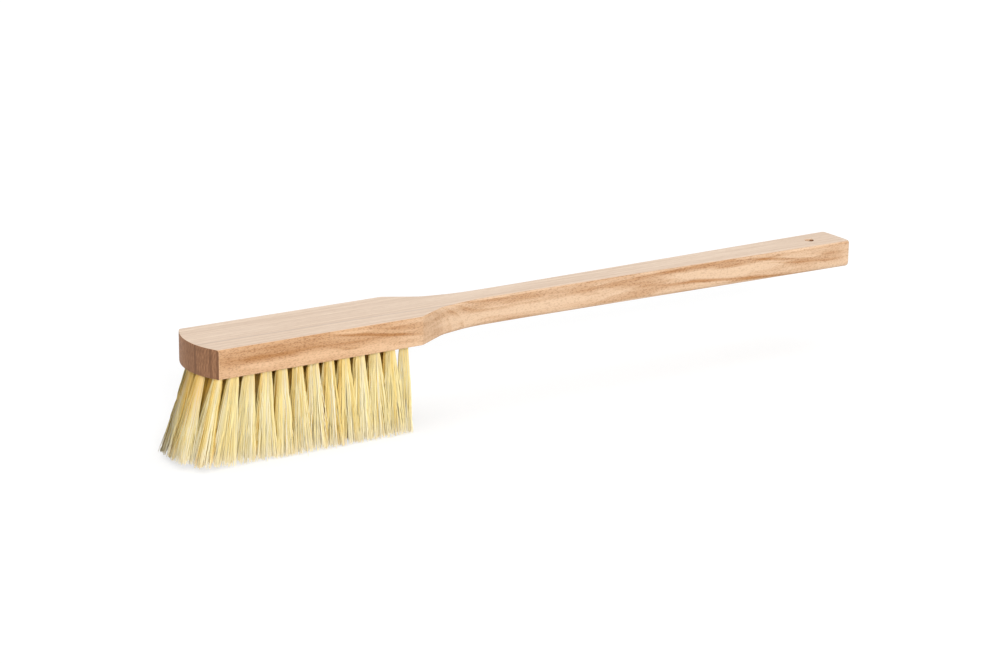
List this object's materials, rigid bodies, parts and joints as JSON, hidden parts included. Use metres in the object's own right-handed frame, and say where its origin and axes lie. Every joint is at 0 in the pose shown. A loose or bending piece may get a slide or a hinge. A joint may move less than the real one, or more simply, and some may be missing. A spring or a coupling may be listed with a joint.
{
  "type": "hand brush",
  "caption": "Long-handled wooden hand brush: one flat board with a wide head, a slim handle with a hanging hole, and tufts of pale plant fibre that splay at the head's tip.",
  "frame": {"origin": "on the plane of the trimmed bristle tips, under the middle of the whole brush", "axes": "+X along the board from the head to the handle's end, +Y across it, +Z from the bristle tips up to the back of the board"},
  "size_m": [0.517, 0.0542, 0.0754],
  "materials": {
    "beech": "bare sanded beech, matt, with straight grain and short dark flecks",
    "plant_fibre": "stiff pale straw-yellow plant fibre with a faint silky shine"
  },
  "bodies": {
    "root": {"brush_board": "beech", "tuft_row1_01": "plant_fibre", "tuft_row1_02": "plant_fibre", "tuft_row1_03": "plant_fibre", "tuft_row1_04": "plant_fibre", "tuft_row1_05": "plant_fibre", "tuft_row1_06": "plant_fibre", "tuft_row1_07": "plant_fibre", "tuft_row1_08": "plant_fibre", "tuft_row1_09": "plant_fibre", "tuft_row1_10": "plant_fibre", "tuft_row1_11": "plant_fibre", "tuft_row1_12": "plant_fibre", "tuft_row1_13": "plant_fibre", "tuft_row2_01": "plant_fibre", "tuft_row2_02": "plant_fibre", "tuft_row2_03": "plant_fibre", "tuft_row2_04": "plant_fibre", "tuft_row2_05": "plant_fibre", "tuft_row2_06": "plant_fibre", "tuft_row2_07": "plant_fibre", "tuft_row2_08": "plant_fibre", "tuft_row2_09": "plant_fibre", "tuft_row2_10": "plant_fibre", "tuft_row2_11": "plant_fibre", "tuft_row2_12": "plant_fibre", "tuft_row2_13": "plant_fibre", "tuft_row3_01": "plant_fibre", "tuft_row3_02": "plant_fibre", "tuft_row3_03": "plant_fibre", "tuft_row3_04": "plant_fibre", "tuft_row3_05": "plant_fibre", "tuft_row3_06": "plant_fibre", "tuft_row3_07": "plant_fibre", "tuft_row3_08": "plant_fibre", "tuft_row3_09": "plant_fibre", "tuft_row3_10": "plant_fibre", "tuft_row3_11": "plant_fibre", "tuft_row3_12": "plant_fibre", "tuft_row3_13": "plant_fibre", "tuft_row4_01": "plant_fibre", "tuft_row4_02": "plant_fibre", "tuft_row4_03": "plant_fibre", "tuft_row4_04": "plant_fibre", "tuft_row4_05": "plant_fibre", "tuft_row4_06": "plant_fibre", "tuft_row4_07": "plant_fibre", "tuft_row4_08": "plant_fibre", "tuft_row4_09": "plant_fibre", "tuft_row4_10": "plant_fibre", "tuft_row4_11": "plant_fibre", "tuft_row4_12": "plant_fibre", "tuft_row4_13": "plant_fibre"}
  },
  "joints": []
}
